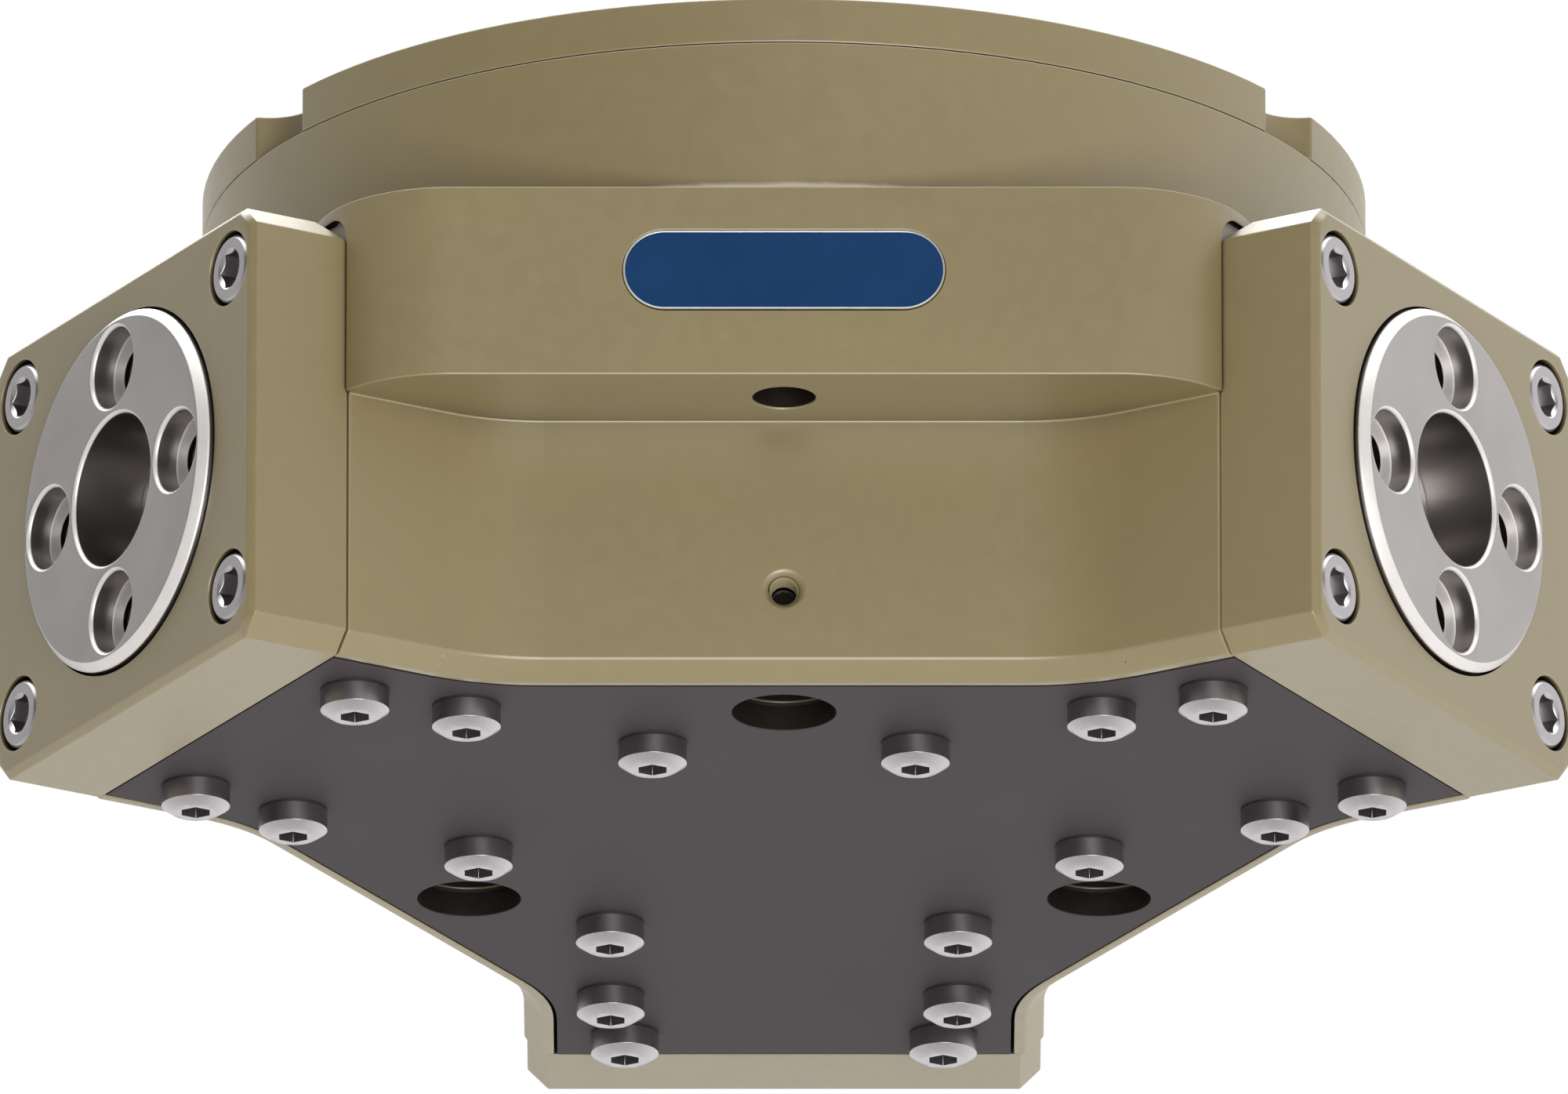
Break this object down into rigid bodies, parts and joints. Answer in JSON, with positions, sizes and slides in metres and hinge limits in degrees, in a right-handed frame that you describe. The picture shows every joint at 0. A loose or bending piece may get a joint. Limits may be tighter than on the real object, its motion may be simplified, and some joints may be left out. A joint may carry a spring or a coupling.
{
  "type": "three jaw centric gripper",
  "caption": "Pneumatic centric gripper: a round drive piston lifts a wedge hook hub whose inclined slots push round base jaws out of their arms together.",
  "frame": {"origin": "centre of the mounting face, where the gripper axis meets it", "axes": "+Z along the gripper axis to the robot; the gripper hangs below. Jaw 1 points along +Y, jaw 2 at 210 degrees and jaw 3 at 330 degrees about Z."},
  "size_m": [0.2262, 0.1985, 0.1015],
  "materials": {
    "olive_aluminium": "hard anodised olive, fine matt",
    "dark_cover": "dark coated plate, matt",
    "jaw_steel": "ground and turned steel",
    "screw_steel": "bright screw steel",
    "drive_steel": "hardened steel, ground",
    "piston_aluminium": "turned",
    "seal_rubber": "moulded black",
    "guide_band": "filled bearing plastic",
    "bush_bronze": "bronze bearing",
    "label": "blue with a thin pale rim, no lettering"
  },
  "bodies": {
    "body": {"housing": "olive_aluminium", "mounting_flange": "olive_aluminium", "flange_screws": "screw_steel", "cylinder_o_ring": "seal_rubber", "port_o_rings": "seal_rubber", "rod_bush": "bush_bronze", "rod_seal": "seal_rubber", "front_cover": "dark_cover", "cover_gasket": "seal_rubber", "cover_screws": "screw_steel", "cover_screw_seals": "seal_rubber", "end_plate_1": "olive_aluminium", "end_plate_2": "olive_aluminium", "end_plate_3": "olive_aluminium", "end_plate_screws": "screw_steel", "end_plate_o_ring_1": "seal_rubber", "end_plate_o_ring_2": "seal_rubber", "end_plate_o_ring_3": "seal_rubber", "jaw_seal_1": "seal_rubber", "jaw_seal_2": "seal_rubber", "jaw_seal_3": "seal_rubber", "jaw_wiper_1": "seal_rubber", "jaw_wiper_2": "seal_rubber", "jaw_wiper_3": "seal_rubber", "label_plate": "label"},
    "piston": {"drive_piston": "piston_aluminium", "piston_seal": "seal_rubber", "piston_guide_band": "guide_band", "wedge_hub": "drive_steel", "piston_screw": "screw_steel"},
    "jaw_1": {"base_jaw_1": "jaw_steel", "jaw_guide_bands_1": "guide_band"},
    "jaw_2": {"base_jaw_2": "jaw_steel", "jaw_guide_bands_2": "guide_band"},
    "jaw_3": {"base_jaw_3": "jaw_steel", "jaw_guide_bands_3": "guide_band"}
  },
  "joints": [
    {"name": "piston_slide", "type": "slide", "parent": "body", "child": "piston", "axis": [0, 0, 1], "range_m": [0, 0.01428]},
    {"name": "jaw_1_slide", "type": "slide", "parent": "body", "child": "jaw_1", "axis": [0, 1, 0], "range_m": [0, 0.01]},
    {"name": "jaw_2_slide", "type": "slide", "parent": "body", "child": "jaw_2", "axis": [-0.866, -0.5, 0], "range_m": [0, 0.01]},
    {"name": "jaw_3_slide", "type": "slide", "parent": "body", "child": "jaw_3", "axis": [0.866, -0.5, 0], "range_m": [0, 0.01]}
  ],
  "couplings": [
    {"joint": "jaw_1_slide", "follows": "piston_slide", "ratio": 0.70021},
    {"joint": "jaw_2_slide", "follows": "piston_slide", "ratio": 0.70021},
    {"joint": "jaw_3_slide", "follows": "piston_slide", "ratio": 0.70021}
  ]
}
